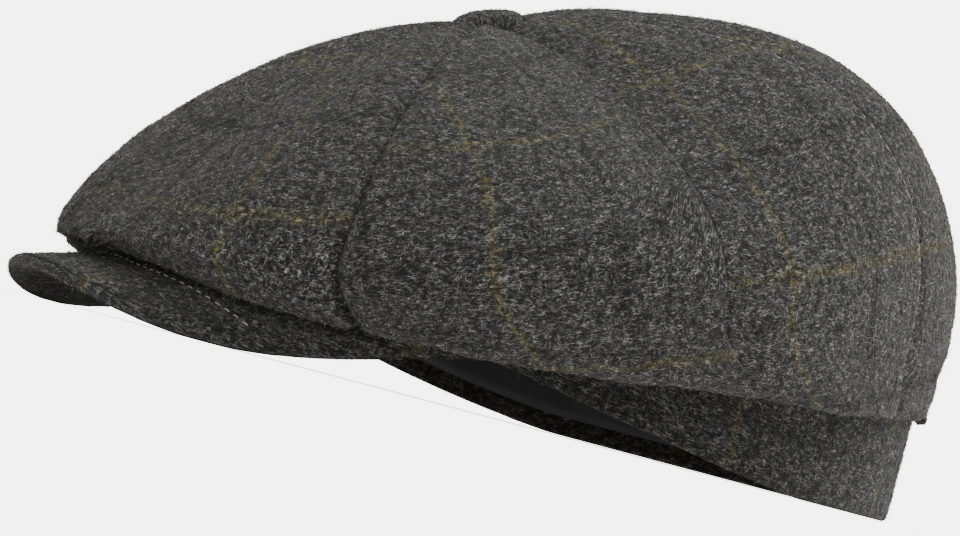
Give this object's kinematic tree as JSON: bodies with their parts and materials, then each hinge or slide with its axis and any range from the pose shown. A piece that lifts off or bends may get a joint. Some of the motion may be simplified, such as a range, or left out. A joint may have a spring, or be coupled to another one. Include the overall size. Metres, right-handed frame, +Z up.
{
  "type": "flat cap",
  "caption": "Newsboy flat cap of grey windowpane wool tweed with a panelled crown, a covered button, a short stiff peak, an upright headband and a dark lining.",
  "frame": {"origin": "middle of the cap's box, on the surface that it lies on", "axes": "+Z up, the peak points to -Y, the wearer's left side is +X"},
  "size_m": [0.238, 0.2678, 0.1233],
  "materials": {
    "wool_tweed": "felted grey wool tweed with fine ochre and dark windowpane lines",
    "lining_cloth": "smooth near-black satin"
  },
  "bodies": {
    "root": {"crown_panel_1": "wool_tweed", "crown_panel_2": "wool_tweed", "crown_panel_3": "wool_tweed", "crown_panel_4": "wool_tweed", "crown_panel_5": "wool_tweed", "crown_panel_6": "wool_tweed", "crown_panel_7": "wool_tweed", "crown_panel_8": "wool_tweed", "button": "wool_tweed", "peak": "wool_tweed", "band": "wool_tweed", "lining_side_1": "lining_cloth", "lining_side_2": "lining_cloth", "lining_side_3": "lining_cloth", "lining_side_4": "lining_cloth", "lining_tip": "lining_cloth"}
  },
  "joints": []
}
